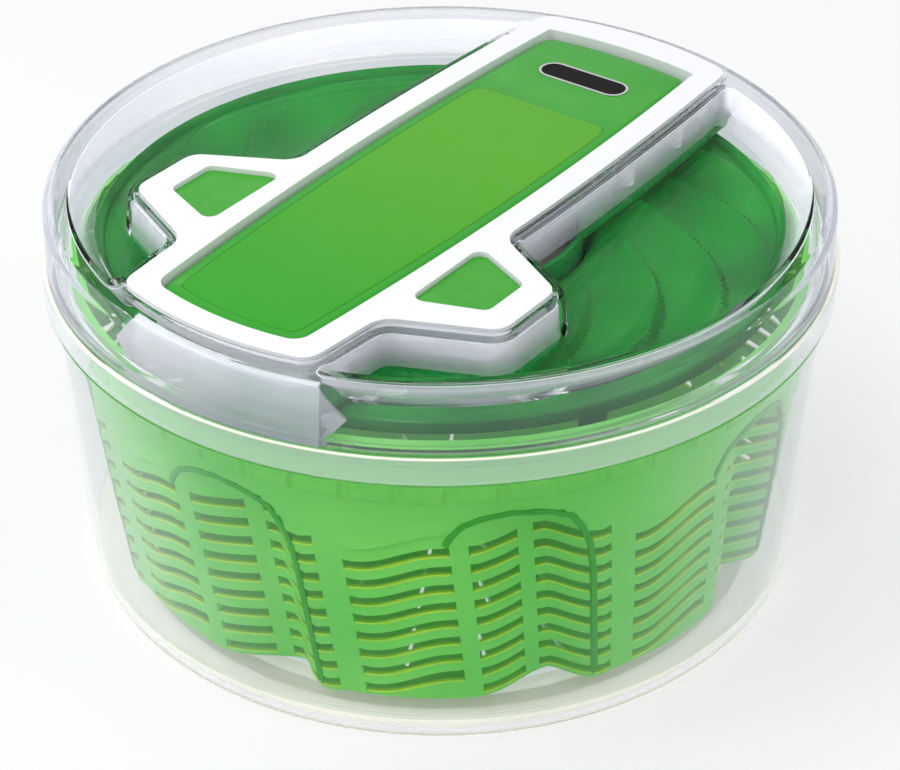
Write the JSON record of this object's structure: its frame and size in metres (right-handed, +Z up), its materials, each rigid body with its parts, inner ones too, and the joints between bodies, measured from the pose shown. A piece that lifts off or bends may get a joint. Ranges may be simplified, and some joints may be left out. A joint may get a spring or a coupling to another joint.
{
  "type": "salad spinner",
  "caption": "Round clear salad spinner with a slotted green basket, a lever in the lid that winds it round, a brake button and a lever lock.",
  "frame": {"origin": "centre of the base, on the surface that the foot ring stands on", "axes": "+Z up along the basket's axis, the lever lies along Y with its hinge end at +Y and its free end at -Y"},
  "size_m": [0.26, 0.26, 0.138],
  "materials": {
    "clear_plastic": "clear gloss moulding",
    "clear_rubber": "soft satin",
    "basket_green": "translucent gloss moulding",
    "disc_green": "translucent gloss moulding",
    "white_plastic": "satin gloss moulding",
    "lever_green": "satin moulding",
    "pad_green": "soft-touch moulding",
    "badge_chrome": "polished",
    "badge_black": "gloss",
    "gear_plastic": "moulded acetal",
    "case_green": "moulded",
    "steel": "turned",
    "bronze": "sintered",
    "shoe_rubber": "matt"
  },
  "bodies": {
    "bowl": {"bowl": "clear_plastic", "foot_ring": "clear_rubber"},
    "basket": {"basket": "basket_green"},
    "lid": {"lid_shell": "clear_plastic", "lever_housing": "white_plastic", "gearbox_case": "case_green", "case_screws": "steel", "bearing_plate": "gear_plastic", "plate_screws": "steel", "output_bush": "bronze", "hinge_pin": "steel", "lever_springs": "steel"},
    "drive": {"drive_disc": "disc_green", "output_shaft": "steel", "disc_screw": "steel"},
    "lever": {"lever_shell": "lever_green", "lever_pad": "pad_green", "badge_rim": "badge_chrome", "badge_plate": "badge_black", "lever_rack": "gear_plastic", "rack_screws": "steel"},
    "cross": {"cross_shaft": "steel", "rack_pinion": "gear_plastic", "crown_gear": "gear_plastic"},
    "idler": {"idler_shaft": "steel", "idler_pinion": "gear_plastic", "idler_gear": "gear_plastic"},
    "clutch": {"clutch_gear": "gear_plastic", "clutch_rollers": "steel", "clutch_cap": "steel"},
    "brake": {"brake_button": "lever_green", "brake_shoe": "shoe_rubber", "brake_spring": "steel"},
    "lock": {"lock_button": "lever_green", "lock_springs": "steel"},
    "latch": {"latch_bolt": "gear_plastic"}
  },
  "joints": [
    {"name": "lid_lift", "type": "slide", "parent": "bowl", "child": "lid", "axis": [0, 0, 1], "range_m": [0, 0.12]},
    {"name": "basket_spin", "type": "hinge", "parent": "bowl", "child": "basket", "pos_m": [0, 0, 0.017], "axis": [0, 0, 1], "continuous": true},
    {"name": "disc_spin", "type": "hinge", "parent": "lid", "child": "drive", "pos_m": [0, 0, 0.1], "axis": [0, 0, 1], "continuous": true},
    {"name": "lever_hinge", "type": "hinge", "parent": "lid", "child": "lever", "pos_m": [0, 0.1005, 0.1304], "axis": [-1, 0, 0], "range_deg": [0, 24]},
    {"name": "cross_spin", "type": "hinge", "parent": "lid", "child": "cross", "pos_m": [0, 0.0217, 0.1209], "axis": [1, 0, 0], "range_deg": [0, 281.3]},
    {"name": "idler_spin", "type": "hinge", "parent": "lid", "child": "idler", "pos_m": [0.01242, 0.0217, 0.105], "axis": [0, 0, 1], "range_deg": [0, 562.1]},
    {"name": "clutch_spin", "type": "hinge", "parent": "lid", "child": "clutch", "pos_m": [0, 0, 0.103], "axis": [0, 0, -1], "range_deg": [0, 842.9]},
    {"name": "brake_press", "type": "slide", "parent": "lid", "child": "brake", "axis": [0, 0, -1], "range_m": [0, 0.003], "stiffness_N_per_m": 400, "deforming": ["brake_spring"]},
    {"name": "lock_press", "type": "slide", "parent": "lid", "child": "lock", "axis": [0, 0, -1], "range_m": [0, 0.0025], "stiffness_N_per_m": 400, "deforming": ["lock_springs"]},
    {"name": "latch_slide", "type": "slide", "parent": "lid", "child": "latch", "axis": [1, 0, 0], "range_m": [0, 0.0025]}
  ],
  "couplings": [
    {"joint": "disc_spin", "follows": "basket_spin", "ratio": 1},
    {"joint": "cross_spin", "follows": "lever_hinge", "ratio": 11.7},
    {"joint": "idler_spin", "follows": "lever_hinge", "ratio": 23.4},
    {"joint": "clutch_spin", "follows": "lever_hinge", "ratio": 35.1},
    {"joint": "latch_slide", "follows": "lock_press", "ratio": 1}
  ]
}
